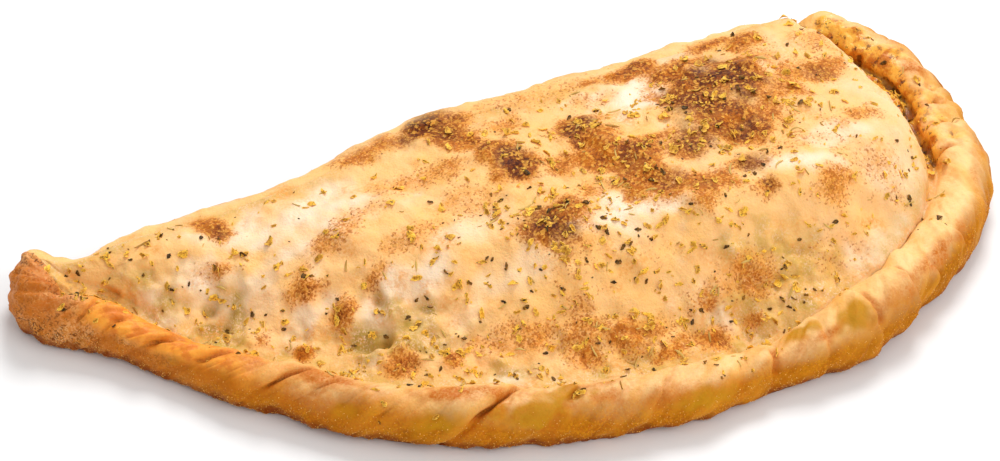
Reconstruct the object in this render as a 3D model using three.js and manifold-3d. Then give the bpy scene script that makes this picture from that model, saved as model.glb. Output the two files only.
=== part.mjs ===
// A calzone: a round of pizza dough folded over its filling along a straight back edge, and closed
// along the curved front edge by a rim that is rolled up and twisted, with dried oregano on top.
// Millimetres, +Z up. It lies flat on z = 0 with the fold towards +Y and the rim round the -Y side.
// The origin is the middle of the base.
import * as THREE from 'three';
import { mergeVertices } from 'three/addons/utils/BufferGeometryUtils.js';
import Module from 'manifold-3d';

// ---------------------------------------------------------------- driving dimensions

// The roll that edges the dough, from the left horn round the front rim to the right horn and back
// along the fold. Each row is one place on it: x and y of the roll's middle, its half width, the
// heights of its widest place and of its top, how far round it goes before the top of the dough
// meets it (degrees from straight outwards), how far inwards the top takes to reach full height, and
// how wide an open crease it leaves before that slope begins.
const EDGE = [
  [-142.5, 77, 7.5, 8.5, 18.6, 112, 14, 0],
  [-147, 61.5, 8, 9.4, 20, 150, 12, 5.5],
  [-134, 46.5, 7.5, 8, 16.5, 156, 15, 5],
  [-122, 26, 7, 6.8, 14, 150, 34, 0],
  [-103, -2, 7.9, 7.6, 16, 152, 46, 0],
  [-75, -34, 8.9, 8.3, 17.6, 152, 54, 0],
  [-41, -55, 9.1, 8.2, 17.6, 152, 56, 0],
  [-6, -67, 9, 8, 17.4, 152, 52, 0],
  [28, -72, 7.9, 7.2, 15.1, 152, 46, 0],
  [62, -71, 10.5, 9.4, 20.7, 150, 40, 0],
  [98, -58, 9.6, 9, 19.2, 152, 28, 0],
  [127, -36, 9.6, 9, 19.2, 158, 18, 3],
  [140.5, -5, 9.8, 9.2, 19.7, 163, 13, 8],
  [145, 17, 9.4, 9.2, 19.7, 165, 12, 14],
  [142, 37, 9, 9.2, 19.2, 165, 12, 15],
  [135.5, 55.5, 7.4, 9, 17.5, 150, 12, 10],
  [121, 50.5, 7, 8, 13, 104, 14, 0],
  [104, 43.5, 13, 13, 31.6, 88, 18, 0],
  [78, 42, 16, 15, 34.8, 88, 34, 0],
  [44, 45, 16, 15, 34.5, 88, 36, 0],
  [10, 50, 16, 14, 33, 88, 36, 0],
  [-25, 56, 15, 13.5, 31, 88, 34, 0],
  [-58, 55, 13, 12, 27, 88, 32, 0],
  [-90, 63.5, 11, 10, 20, 90, 26, 0],
  [-116, 68, 8.5, 8.5, 19, 92, 18, 0],
  [-132, 70.5, 7, 7, 15.5, 95, 12, 0],
];

const RIM_STATIONS = 16;         // the rows of EDGE that are rim, up to the mouth of its inner crease
const FOOT_DEPTH = 1.12;         // the roll's lower half runs on to this share of its middle height

// Height that the top would reach far from any edge, along the length.
const FULL_HEIGHT = [[-150, 19], [-100, 25], [-50, 32], [0, 37], [50, 40], [100, 39], [140, 33]];
const TOP_BLEND = 6;             // softness of the meeting of the front slope and the back slope
const BLEND_FROM = 10;           // distance from the edge at which that softness is complete
const NEAR_SHARE = 4;            // power by which near places of the edge set a slope's foot
const SWELL_FADE = [2, 20];      // distances from the edge over which swells and hollows come in
const BULGING_SLOPE = 12;        // a slope this short bulges out over its foot
const HOLLOW_SLOPE = 42;         // a slope this long leaves its foot in a gentle hollow

// Swells and hollows of the top: plan position, radius, height.
const SWELLS = [
  [72, 19, 20, 2.6], [52, 2, 16, 1.4], [22, 12, 14, 1.8], [-5, 30, 15, 2.0], [-16, 50, 10, 1.8],
  [-9, -6, 13, 2.2], [38, -20, 16, 1.6], [70, -34, 15, 1.6], [-34, 54, 12, 1.2], [-100, 54, 10, 1.6],
  [-48, 22, 16, 1.2], [-122, 53, 10, 3.4], [-74, -8, 10, -2.4], [-109, 20, 9, -1.8],
  [-40, -24, 12, -1.4], [8, -52, 12, -1.2], [40, 28, 12, -1.6], [-24, 10, 12, -1.2],
];

// Twist of the rim: places along it where one turn of dough laps over the next, with the depth of
// the step as a share of the roll and how far it leans along the rim in a quarter turn round it.
const PLEATS = [
  [5, 0.12, 2], [19, 0.20, 4], [30, 0.14, 5], [40, 0.14, 7], [54, 0.28, 9], [70, 0.25, 11],
  [96, 0.28, 12], [108, 0.16, 12], [133, 0.10, 12], [159, 0.32, 13], [182, 0.20, 11],
  [198, 0.12, 9], [212, 0.16, 7], [238, 0.15, 4], [249, 0.26, 3], [267, 0.18, 2], [285, 0.23, 1],
  [302, 0.22, 1], [314, 0.12, 0], [332, 0.12, 0], [350, 0.14, -2], [372, 0.16, -3],
  [386, 0.14, -2], [396, 0.14, 0], [404, 0.14, 0], [413, 0.12, 0], [430, 0.11, 0], [446, 0.10, 0],
];
const PLEAT_LIP = 1.8;           // width of the lip's own edge
const PLEAT_RECOVERY = 13;       // distance over which the next turn swells back
const PLEAT_ANGLE = 45;          // where round the roll a pleat crosses its place in the list
const PLEAT_SPAN = [-60, 150];   // the angles between which pleats are deeper than elsewhere
const PLEAT_LEAST = 0.4;         // their share of the depth outside that span

// Mesh fineness.
const COLUMNS = 104;             // along the rim, and the same along the fold
const TOP_ROWS = 10;             // from the middle of the top to the roll, closer near the roll
const ROLL_ROWS = 11;

// Dried oregano: leaf bits that lie on the top, half sunk, thickest over the middle.
const FLAKES = 72;
const FLAKE_LENGTH = [4.4, 2.6];             // of the first and of the last
const FLAKE_WIDTH = 0.5;                     // of the length
const FLAKE_HEIGHT = 0.7;                    // how far they stand out
const FLAKE_SPACING = 8.5;
const FLAKE_TOP = 0.6;                       // size of a flake's top face against its foot
const FLAKE_ACROSS = [0.06, 0.96];           // how near they come to the rim and to the fold
const FLAKE_SEED = 71;
const THICK_MIDDLE = { x: 12, y: -14, halfLength: 95, halfWidth: 48 };
const THIN_SHARE = 0.3;                      // how thickly they lie far from the middle

// ---------------------------------------------------------------- small helpers

const { clamp, lerp, smoothstep, degToRad } = THREE.MathUtils;

// Smooth reading of a [[position, value], ...] list.
function along(list, at) {
  const next = clamp(list.findIndex(([place]) => place > at), 1, list.length - 1);
  const [[from, low], [to, high]] = [list[next - 1], list[next]];
  return at > list[list.length - 1][0] ? high : lerp(low, high, smoothstep(at, from, to));
}

// The lower of two heights, with their meeting rounded off over a width of blend.
function smoothMin(a, b, blend) {
  const share = clamp(0.5 + (b - a) / (2 * blend), 0, 1);
  return lerp(b, a, share) - blend * share * (1 - share);
}

// ---------------------------------------------------------------- the roll round the edge

// A closed smooth curve through three columns of EDGE.
function edgeCurve(...columns) {
  const points = EDGE.map((row) => new THREE.Vector3(...columns.map((column) => row[column])));
  const curve = new THREE.CatmullRomCurve3(points, true, 'catmullrom', 0.5);
  curve.arcLengthDivisions = 1000;
  return curve;
}

const LINE = edgeCurve(0, 1);
const ROLL = edgeCurve(2, 3, 4);
const MEETING = edgeCurve(5, 6, 7);
const EDGE_LENGTH = LINE.getLength();
const RIM_LENGTH = LINE.getLengths()[Math.round(1000 * RIM_STATIONS / EDGE.length)];

// The roll at a distance along the edge from the left horn.
function edgeAt(distance) {
  const t = LINE.getUtoTmapping(0, distance);
  const { x, y } = LINE.getPoint(t);
  const heading = LINE.getTangent(t);
  const [halfWidth, middle, top] = ROLL.getPoint(t).toArray();
  const [meeting, slope, crease] = MEETING.getPoint(t).toArray();
  return { x, y, outX: heading.y, outY: -heading.x, halfWidth, middle, top, meeting, slope, crease };
}

// How far the twist draws the roll in, at a distance along it and an angle round it.
function pleatDraw(distance, angle) {
  const [from, to] = PLEAT_SPAN;
  const middle = Math.sin(Math.PI * clamp((angle - from) / (to - from), 0, 1));
  let draw = 0;
  for (const [at, depth, lean] of PLEATS) {
    const past = distance - at - lean * (angle - PLEAT_ANGLE) / 90;
    draw += depth * Math.exp(past < 0 ? past / PLEAT_LIP : -past / PLEAT_RECOVERY);
  }
  return draw * lerp(PLEAT_LEAST, 1, middle);
}

// A point on the roll, with the angle in degrees from straight outwards, up over the top.
function rollPoint(distance, angle) {
  const { x, y, outX, outY, halfWidth, middle, top } = edgeAt(distance);
  const size = 1 - pleatDraw(distance, angle);
  const reach = halfWidth * Math.cos(degToRad(angle)) * size;
  const rise = Math.sin(degToRad(angle)) * (angle > 0 ? (top - middle) * size : middle * FOOT_DEPTH);
  return new THREE.Vector3(x + outX * reach, y + outY * reach, Math.max(0, middle + rise));
}

// The angle at which the roll's underside meets the table.
const FOOT_ANGLE = -Math.asin(1 / FOOT_DEPTH) * THREE.MathUtils.RAD2DEG;

// ---------------------------------------------------------------- the top

// Where the top meets the roll, every millimetre or so, on the rim and on the fold.
function meetingLine(from, to) {
  const line = [];
  for (let distance = from; distance <= to; distance += 1) {
    const { meeting, slope, crease } = edgeAt(distance);
    line.push({ place: rollPoint(distance, meeting), slope, crease });
  }
  return line;
}

const FRONT = meetingLine(0, RIM_LENGTH);
const BACK = meetingLine(RIM_LENGTH, EDGE_LENGTH);

// Height of the slope that rises inwards from a meeting line: near places count most.
function slopeFrom(line, x, y, full) {
  let gap = Infinity;
  let weights = 0;
  let foot = 0;
  let slope = 0;
  let crease = 0;
  for (const one of line) {
    const distance = Math.hypot(one.place.x - x, one.place.y - y);
    const weight = 1 / (distance + 0.1) ** NEAR_SHARE;
    gap = Math.min(gap, distance);
    weights += weight;
    foot += weight * one.place.z;
    slope += weight * one.slope;
    crease += weight * one.crease;
  }
  const share = clamp((gap - crease / weights) / (slope / weights), 0, 1);
  const bulging = Math.sqrt(share * (2 - share));
  const hollow = smoothstep(share, 0, 1);
  const rise = lerp(bulging, hollow, smoothstep(slope / weights, BULGING_SLOPE, HOLLOW_SLOPE));
  return { height: lerp(foot / weights, full, rise), gap };
}

function topHeight(x, y) {
  const full = along(FULL_HEIGHT, x);
  const front = slopeFrom(FRONT, x, y, full);
  const back = slopeFrom(BACK, x, y, full);
  const gap = Math.min(front.gap, back.gap);
  const swell = SWELLS.reduce((sum, [swellX, swellY, radius, height]) => {
    const away = Math.hypot(x - swellX, y - swellY) / radius;
    return sum + height * Math.exp(-away * away);
  }, 0);
  const blend = TOP_BLEND * smoothstep(gap, 0, BLEND_FROM) + 0.01;
  return smoothMin(front.height, back.height, blend) + swell * smoothstep(gap, ...SWELL_FADE);
}

// ---------------------------------------------------------------- the dough

// Place on the edge at a share of the way round: the rim takes the first half, the fold the second.
function wayAt(share) {
  if (share <= 0.5) return RIM_LENGTH * share * 2;
  return lerp(RIM_LENGTH, EDGE_LENGTH, share * 2 - 1) % EDGE_LENGTH;
}

// A point of the top, across being 0 at its own place on the edge and 1 at the place straight opposite.
function topPoint(share, across) {
  const [from, to] = [share, 1 - share].map((end) => rollPoint(wayAt(end), edgeAt(wayAt(end)).meeting));
  const place = from.lerp(to, across);
  return across === 0 ? place : place.setZ(topHeight(place.x, place.y));
}

// A point of the base, with across as above.
function basePoint(share, across) {
  const [from, to] = [share, 1 - share].map((end) => rollPoint(wayAt(end), FOOT_ANGLE));
  return from.lerp(to, across).setZ(0);
}

// A sheet wrapped round the dough. Its columns go once round the edge, and its rows go from the middle
// of the top over the roll to the middle of the base, where the rim's half meets the fold's half.
function doughGeometry() {
  const sheet = new THREE.PlaneGeometry(1, 1, 2 * COLUMNS, TOP_ROWS + ROLL_ROWS + 1);
  const place = sheet.getAttribute('position');
  for (let i = 0; i < place.count; i++) {
    const column = i % (2 * COLUMNS + 1);
    const point = doughPoint(column, Math.floor(i / (2 * COLUMNS + 1)));
    place.setXYZ(i, point.x, point.y, point.z);
  }
  return sheet;
}

function doughPoint(column, row) {
  const share = column / (2 * COLUMNS);
  const mirrored = Math.min(share, 1 - share);
  if (row === 0) return topPoint(mirrored, 0.5);
  if (row < TOP_ROWS) return topPoint(share, (1 - Math.sin((Math.PI / 2) * (row / TOP_ROWS))) / 2);
  if (row > TOP_ROWS + ROLL_ROWS) return basePoint(mirrored, 0.5);
  const way = wayAt(share);
  return rollPoint(way, lerp(edgeAt(way).meeting, FOOT_ANGLE, (row - TOP_ROWS) / ROLL_ROWS));
}

// ---------------------------------------------------------------- the oregano

// Even random numbers from 0 to 1, the same on every run.
function randomSource(seed) {
  let state = seed;
  return () => {
    state = (state * 16807) % 2147483647;
    return state / 2147483647;
  };
}

// How thickly the oregano lies at a place of the top.
function oreganoShare(x, y) {
  const away = ((x - THICK_MIDDLE.x) / THICK_MIDDLE.halfLength) ** 2
    + ((y - THICK_MIDDLE.y) / THICK_MIDDLE.halfWidth) ** 2;
  return lerp(THIN_SHARE, 1, Math.exp(-away));
}

// Places for the flakes: drawn anywhere on the top, kept by thickness, and apart from each other.
function flakePlaces() {
  const random = randomSource(FLAKE_SEED);
  const places = [];
  while (places.length < FLAKES) {
    const { x, y } = topPoint(random() / 2, lerp(...FLAKE_ACROSS, random()));
    const place = new THREE.Vector2(x, y);
    const turn = random() * Math.PI;
    const kept = random() < oreganoShare(place.x, place.y);
    if (kept && places.every((other) => other.place.distanceTo(place) > FLAKE_SPACING)) {
      places.push({ place, turn });
    }
  }
  return places;
}

// A leaf bit: a flat four-sided chip that follows the slope it lies on.
function flakeGeometry({ place: { x, y }, turn }, order) {
  const length = lerp(...FLAKE_LENGTH, order / FLAKES);
  const step = 1;
  const height = topHeight(x, y);
  const up = new THREE.Vector3(height - topHeight(x + step, y), height - topHeight(x, y + step), step);
  const flake = new THREE.CylinderGeometry(FLAKE_TOP, 1, 1, 4).rotateX(Math.PI / 2);
  flake.scale(length / 2, length * FLAKE_WIDTH / 2, 2 * FLAKE_HEIGHT);
  flake.rotateZ(turn);
  const lean = new THREE.Quaternion();
  lean.setFromUnitVectors(THREE.Object3D.DEFAULT_UP, up.normalize());
  flake.applyQuaternion(lean);
  flake.translate(x, y, height);
  return flake;
}

// ---------------------------------------------------------------- assembly

const wasm = await Module();
wasm.setup();

// A geometry as a solid: shared corners become one, and triangles that this closes up are left out.
function solidOf(geometry) {
  geometry.deleteAttribute('normal');
  geometry.deleteAttribute('uv');
  const merged = mergeVertices(geometry, 1e-3);
  const vertProperties = new Float32Array(merged.getAttribute('position').array);
  const corners = merged.index.array;
  const kept = [];
  for (let i = 0; i < corners.length; i += 3) {
    const triangle = corners.slice(i, i + 3);
    if (new Set(triangle).size === 3) kept.push(...triangle);
  }
  const triVerts = new Uint32Array(kept);
  return new wasm.Manifold(new wasm.Mesh({ numProp: 3, vertProperties, triVerts }));
}

function geometryOf(solid) {
  const { vertProperties, triVerts } = solid.getMesh();
  const geometry = new THREE.BufferGeometry();
  geometry.setAttribute('position', new THREE.BufferAttribute(vertProperties, 3));
  geometry.setIndex(new THREE.BufferAttribute(triVerts, 1));
  return geometry;
}

const withOregano = flakePlaces().reduce(
  (solid, flake, order) => solid.add(solidOf(flakeGeometry(flake, order))),
  solidOf(doughGeometry()),
);

// Slivers that close up where the rim and the fold meet are scraps: only the largest body is kept.
const [whole] = withOregano.decompose().sort((one, other) => other.volume() - one.volume());
const geometry = geometryOf(whole);
geometry.computeBoundingBox();
const centre = geometry.boundingBox.getCenter(new THREE.Vector3());
geometry.translate(-centre.x, -centre.y, 0);

const calzone = new THREE.Mesh(
  geometry,
  new THREE.MeshStandardMaterial({ color: 0xe9bd84, roughness: 0.7, metalness: 0 }),
);
calzone.name = 'calzone';

const group = new THREE.Group();
group.add(calzone);
export default group;
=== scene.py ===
"""A baked calzone: folded dough with a rolled and twisted rim, and dried oregano, on a pale table."""
import math
import bpy
import numpy as np
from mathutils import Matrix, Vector
from mathutils.bvhtree import BVHTree


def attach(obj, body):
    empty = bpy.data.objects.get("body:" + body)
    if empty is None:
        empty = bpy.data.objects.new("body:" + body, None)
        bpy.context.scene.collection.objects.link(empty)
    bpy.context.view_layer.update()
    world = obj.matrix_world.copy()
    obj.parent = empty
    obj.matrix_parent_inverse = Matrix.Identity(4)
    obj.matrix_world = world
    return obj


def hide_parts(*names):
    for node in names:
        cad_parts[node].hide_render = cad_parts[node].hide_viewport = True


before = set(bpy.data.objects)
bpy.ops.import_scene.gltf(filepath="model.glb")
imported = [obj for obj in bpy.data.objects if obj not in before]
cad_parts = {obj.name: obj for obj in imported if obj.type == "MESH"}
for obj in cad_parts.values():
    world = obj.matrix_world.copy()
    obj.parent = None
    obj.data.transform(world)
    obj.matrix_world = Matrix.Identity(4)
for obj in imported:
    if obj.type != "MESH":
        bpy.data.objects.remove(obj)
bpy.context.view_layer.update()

# ---------------------------- the table, the light and the view
# A plain pale table top, a broad soft lamp behind and above the food, a weaker one in front, and the
# white walls of the room. The camera looks down from the front left.
TABLE_SIZE = 6.0
TABLE_WHITE = (0.86, 0.86, 0.86, 1)
TABLE_ROUGHNESS = 0.7
LAMPS = [  # place, width, watts
    ((0.75, 0.85, 1.35), 0.7, 20.0),
    ((0.5, -1.2, 1.0), 1.2, 10.0),
]
WALL_LIGHT = 0.66
VIEW_TURN = math.radians(-31)
VIEW_HEIGHT = math.radians(40)
VIEW_DISTANCE = 1.2
VIEW_MIDDLE = Vector((-0.0018, 0.03116, 0.0))
LENS = 136.6
SENSOR_WIDTH = 36


def aim(thing, place, target):
    thing.location = place
    thing.rotation_euler = (Vector(target) - Vector(place)).to_track_quat("-Z", "Y").to_euler()
    bpy.context.scene.collection.objects.link(thing)


def plain_material(name, colour, roughness):
    material = bpy.data.materials.new(name)
    material.use_nodes = True
    shader = material.node_tree.nodes["Principled BSDF"]
    shader.inputs["Base Color"].default_value = colour
    shader.inputs["Roughness"].default_value = roughness
    return material


def lay(name, mesh, material):
    """Puts a mesh in the scene as one piece of one material."""
    mesh.materials.append(material)
    piece = bpy.data.objects.new(name, mesh)
    bpy.context.scene.collection.objects.link(piece)
    return piece


half = TABLE_SIZE / 2
table_mesh = bpy.data.meshes.new("table_top")
table_mesh.from_pydata([(-half, -half, 0), (half, -half, 0), (half, half, 0), (-half, half, 0)], [],
                       [(0, 1, 2, 3)])
table = lay("table_top", table_mesh, plain_material("pale table", TABLE_WHITE, TABLE_ROUGHNESS))

for place, width, watts in LAMPS:
    lamp = bpy.data.lights.new("soft lamp", "AREA")
    lamp.size = width
    lamp.energy = watts
    aim(bpy.data.objects.new("soft lamp", lamp), place, (0, 0, 0))

walls = bpy.data.worlds.new("white walls")
walls.use_nodes = True
walls.node_tree.nodes["Background"].inputs["Color"].default_value = (1, 1, 1, 1)
walls.node_tree.nodes["Background"].inputs["Strength"].default_value = WALL_LIGHT
bpy.context.scene.world = walls
bpy.context.scene.view_settings.view_transform = "Standard"

camera = bpy.data.cameras.new("camera")
camera.lens = LENS
camera.sensor_width = SENSOR_WIDTH
away = Vector((math.sin(VIEW_TURN) * math.cos(VIEW_HEIGHT), -math.cos(VIEW_TURN) * math.cos(VIEW_HEIGHT),
               math.sin(VIEW_HEIGHT)))
camera_object = bpy.data.objects.new("camera", camera)
aim(camera_object, VIEW_MIDDLE + away * VIEW_DISTANCE, VIEW_MIDDLE)
bpy.context.scene.camera = camera_object

# ---------------------------- the baked dough
# One round of pizza dough folded over its filling. The fold is the back edge, and the front edge is
# rolled up and twisted shut. It is one piece: a roll round the edge, a domed top and a flat base.
MM = 0.001  # the sizes below are in millimetres

# The roll that edges the dough, as in the solid: x, y, half width, height of its middle, height of its
# top, the angle round it where the top starts, the length of that slope, and the width of the open
# crease before it.
EDGE = np.array([
    (-142.5, 77, 7.5, 8.5, 18.6, 112, 14, 0), (-147, 61.5, 8, 9.4, 20, 150, 12, 5.5),
    (-134, 46.5, 7.5, 8, 16.5, 156, 15, 5), (-122, 26, 7, 6.8, 14, 150, 34, 0),
    (-103, -2, 7.9, 7.6, 16, 152, 46, 0), (-75, -34, 8.9, 8.3, 17.6, 152, 54, 0),
    (-41, -55, 9.1, 8.2, 17.6, 152, 56, 0), (-6, -67, 9, 8, 17.4, 152, 52, 0),
    (28, -72, 7.9, 7.2, 15.1, 152, 46, 0), (62, -71, 10.5, 9.4, 20.7, 150, 40, 0),
    (98, -58, 9.6, 9, 19.2, 152, 28, 0), (127, -36, 9.6, 9, 19.2, 158, 18, 3),
    (140.5, -5, 9.8, 9.2, 19.7, 163, 13, 8), (145, 17, 9.4, 9.2, 19.7, 165, 12, 14),
    (142, 37, 9, 9.2, 19.2, 165, 12, 15), (135.5, 55.5, 7.4, 9, 17.5, 150, 12, 10),
    (121, 50.5, 7, 8, 13, 104, 14, 0), (104, 43.5, 13, 13, 31.6, 88, 18, 0),
    (78, 42, 16, 15, 34.8, 88, 34, 0), (44, 45, 16, 15, 34.5, 88, 36, 0), (10, 50, 16, 14, 33, 88, 36, 0),
    (-25, 56, 15, 13.5, 31, 88, 34, 0), (-58, 55, 13, 12, 27, 88, 32, 0),
    (-90, 63.5, 11, 10, 20, 90, 26, 0), (-116, 68, 8.5, 8.5, 19, 92, 18, 0),
    (-132, 70.5, 7, 7, 15.5, 95, 12, 0),
])
RIM_STATIONS = 16  # the rows of EDGE that are rim
FOOT_DEPTH = 1.12  # the roll's lower half runs on to this share of its middle height
FOOT_ANGLE = -math.degrees(math.asin(1 / FOOT_DEPTH))
FULL_HEIGHT = [(-150, 19), (-100, 25), (-50, 32), (0, 37), (50, 40), (100, 39), (140, 33)]  # x, height
TOP_BLEND = 6  # how softly the slopes from the front and the back meet
BLEND_FROM = 10  # how far in from the edge they meet so
NEAR_SHARE = 4  # how strongly nearer places of the edge count
SWELL_FADE = (2, 20)  # how far in from the edge the swells begin and are full
BULGING_SLOPE = 12  # a slope as short as this bulges
HOLLOW_SLOPE = 42  # one as long as this is hollow at its foot
SWELLS = [  # x, y, radius, height (a hollow where it is below 0)
    (72, 19, 20, 2.6), (52, 2, 16, 1.4), (22, 12, 14, 1.8), (-5, 30, 15, 2), (-16, 50, 10, 1.8),
    (-9, -6, 13, 2.2), (38, -20, 16, 1.6), (70, -34, 15, 1.6), (-34, 54, 12, 1.2), (-100, 54, 10, 1.6),
    (-48, 22, 16, 1.2), (-122, 53, 10, 3.4), (-74, -8, 10, -2.4), (-109, 20, 9, -1.8), (-40, -24, 12, -1.4),
    (8, -52, 12, -1.2), (40, 28, 12, -1.6), (-24, 10, 12, -1.2),
]
PLEATS = [  # place along the rim, depth, lean
    (5, 0.12, 2), (19, 0.2, 4), (30, 0.14, 5), (40, 0.14, 7), (54, 0.28, 9), (70, 0.25, 11), (96, 0.28, 12),
    (108, 0.16, 12), (133, 0.1, 12), (159, 0.32, 13), (182, 0.2, 11), (198, 0.12, 9), (212, 0.16, 7),
    (238, 0.15, 4), (249, 0.26, 3), (267, 0.18, 2), (285, 0.23, 1), (302, 0.22, 1), (314, 0.12, 0),
    (332, 0.12, 0), (350, 0.14, -2), (372, 0.16, -3), (386, 0.14, -2), (396, 0.14, 0), (404, 0.14, 0),
    (413, 0.12, 0), (430, 0.11, 0), (446, 0.1, 0),
]
PLEAT_LIP = 0.9  # how soon a pleat is deepest, sharper than in the solid
PLEAT_RECOVERY = 13  # and how slowly it comes out again
PLEAT_ANGLE = 45  # where round the roll its place is given
PLEAT_SPAN = (-60, 150)  # the angles between which it is deeper
PLEAT_LEAST = 0.4  # the share of its depth outside them
CENTRE_SHIFT = (0.885, -1.138, 0)  # from the numbers above to the frame, whose origin is the base's middle
TWIST_LEAN = 0.14  # how far along the rim the twist runs for each degree round it
ROUND_STEP = 0.16  # how far round the roll a degree is

# Fineness of the mesh.
LENGTH_STEPS = 660  # along the rim, and the same along the fold
TOP_STEPS = 130  # from the rim to the fold, over the top
ROLL_STEPS = 46
BASE_STEPS = 8
EVEN_SHARE = 0.45  # how evenly the steps over the top are set


def smooth(value, low, high):
    share = np.clip((value - low) / (high - low), 0, 1)
    return share * share * (3 - 2 * share)


def mixed(first, second, share):
    return first + (second - first) * share


def edge_curve(t, columns):
    """A closed smooth curve through some columns of EDGE, at t from 0 to 1 all round."""
    rows = EDGE[:, columns]
    at = np.asarray(t) * len(rows)
    index = np.floor(at).astype(int)
    part = (at - index)[..., None]
    before, start, end, after = (rows[(index + step) % len(rows)] for step in (-1, 0, 1, 2))
    leave, arrive = (end - before) / 2, (after - start) / 2
    return (start + leave * part + (3 * (end - start) - 2 * leave - arrive) * part ** 2
            + (2 * (start - end) + leave + arrive) * part ** 3)


LINE_T = np.linspace(0, 1, 1001)
LINE_LENGTHS = np.concatenate([[0], np.cumsum(np.linalg.norm(
    np.diff(edge_curve(LINE_T, [0, 1]), axis=0), axis=1))])
EDGE_LENGTH = LINE_LENGTHS[-1]
RIM_LENGTH = LINE_LENGTHS[round(1000 * RIM_STATIONS / len(EDGE))]


def pleat_draw(distance, angle):
    """How far the twist draws the roll in."""
    low, high = PLEAT_SPAN
    middle = np.sin(np.pi * np.clip((angle - low) / (high - low), 0, 1))
    draw = 0
    for at, depth, lean in PLEATS:
        past = distance - at - lean * (angle - PLEAT_ANGLE) / 90
        draw = draw + depth * np.exp(np.where(past < 0, past / PLEAT_LIP, -past / PLEAT_RECOVERY))
    return draw * mixed(PLEAT_LEAST, 1, middle)


def roll_point(distance, angle):
    """Points on the roll, and which way is outwards there."""
    t = np.interp(distance, LINE_LENGTHS, LINE_T)
    x, y, half_width, middle, top = np.moveaxis(edge_curve(t, range(5)), -1, 0)
    ahead = edge_curve(t + 1e-4, [0, 1]) - edge_curve(t - 1e-4, [0, 1])
    ahead = ahead / np.linalg.norm(ahead, axis=-1, keepdims=True)
    size = 1 - pleat_draw(distance, angle)
    reach = half_width * np.cos(np.radians(angle)) * size
    rise = np.sin(np.radians(angle)) * np.where(angle > 0, (top - middle) * size, middle * FOOT_DEPTH)
    return np.stack([x + ahead[..., 1] * reach, y - ahead[..., 0] * reach,
                     np.maximum(0, middle + rise)], -1)


def meeting_angle(distance):
    return edge_curve(np.interp(distance, LINE_LENGTHS, LINE_T), [5])[..., 0]


def meeting_line(start, end):
    distance = np.arange(start, end, 1.0)
    slope_and_crease = edge_curve(np.interp(distance, LINE_LENGTHS, LINE_T), [6, 7])
    return roll_point(distance, meeting_angle(distance)), slope_and_crease


def slope_from(line, x, y, full):
    """Height of the slope that rises inwards from a meeting line, and the distance to that line."""
    places, slopes_and_creases = line
    height, gap = np.empty_like(x), np.empty_like(x)
    for part in np.array_split(np.arange(x.size), max(1, x.size // 20000)):
        distance = np.hypot(x[part, None] - places[:, 0], y[part, None] - places[:, 1])
        weight = 1 / (distance + 0.1) ** NEAR_SHARE
        weight /= weight.sum(1, keepdims=True)
        slope, crease = (weight @ slopes_and_creases).T
        gap[part] = distance.min(1)
        share = np.clip((gap[part] - crease) / slope, 0, 1)
        rise = mixed(np.sqrt(share * (2 - share)), smooth(share, 0, 1),
                     smooth(slope, BULGING_SLOPE, HOLLOW_SLOPE))
        height[part] = mixed(weight @ places[:, 2], full[part], rise)
    return height, gap


FRONT = meeting_line(0, RIM_LENGTH)
BACK = meeting_line(RIM_LENGTH, EDGE_LENGTH)


def full_height(x):
    """The smooth height along the length that the top would reach far from any edge."""
    height = np.full_like(x, FULL_HEIGHT[0][1])
    for (start, low), (end, high) in zip(FULL_HEIGHT, FULL_HEIGHT[1:]):
        height = np.where(x >= start, mixed(low, high, smooth(x, start, end)), height)
    return height


def top_height(x, y):
    full = full_height(x)
    front, front_gap = slope_from(FRONT, x, y, full)
    back, back_gap = slope_from(BACK, x, y, full)
    gap = np.minimum(front_gap, back_gap)
    swell = sum(height * np.exp(-((x - at_x) ** 2 + (y - at_y) ** 2) / radius ** 2)
                for at_x, at_y, radius, height in SWELLS)
    blend = TOP_BLEND * smooth(gap, 0, BLEND_FROM) + 0.01
    share = np.clip(0.5 + (back - front) / (2 * blend), 0, 1)
    lower = mixed(back, front, share) - blend * share * (1 - share)
    return lower + swell * smooth(gap, *SWELL_FADE), gap


LUMP_CELLS = 32  # they repeat after so many
LUMP_SHIFT = 100.5  # cells from the corner of their grid to the middle of the dough
LUMP_GAIN = 1.6


def lumps(places, size, seed):
    """Soft random lumps from -1 to 1, about size across, turned another way for each seed."""
    table = np.random.default_rng(seed).uniform(-1, 1, (LUMP_CELLS,) * 3)
    turn = seed * 0.7
    across = places[..., 0] * math.cos(turn) - places[..., 1] * math.sin(turn)
    along = places[..., 0] * math.sin(turn) + places[..., 1] * math.cos(turn)
    at = np.stack([across, along, places[..., 2]], -1) / size + LUMP_SHIFT
    cell = np.floor(at).astype(int)
    part = at - cell
    part = part * part * (3 - 2 * part)
    total = 0
    for corner in np.ndindex(2, 2, 2):
        weight = np.prod(np.where(np.array(corner), part, 1 - part), -1)
        total = total + weight * table[tuple(np.moveaxis((cell + corner) % LUMP_CELLS, -1, 0))]
    return total * LUMP_GAIN


def layered(places, layers, seed):
    """Lumps laid over each other, each a size and a height."""
    return sum(rise * lumps(places, size, seed + number) for number, (size, rise) in enumerate(layers))


# The grid of the roll: rows of places along it, and rows of angles round it.
front_way = np.linspace(0, RIM_LENGTH, LENGTH_STEPS + 1)
back_way = np.linspace(EDGE_LENGTH, RIM_LENGTH, LENGTH_STEPS + 1)
ring_way = np.concatenate([front_way, back_way[-2:0:-1]])
ring_share = np.linspace(0, 1, ROLL_STEPS + 1)
ring_angle = mixed(meeting_angle(ring_way)[:, None], FOOT_ANGLE, ring_share[None, :])
ring_distance = np.broadcast_to(ring_way[:, None], ring_angle.shape)
ring = roll_point(ring_distance, ring_angle)


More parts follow.
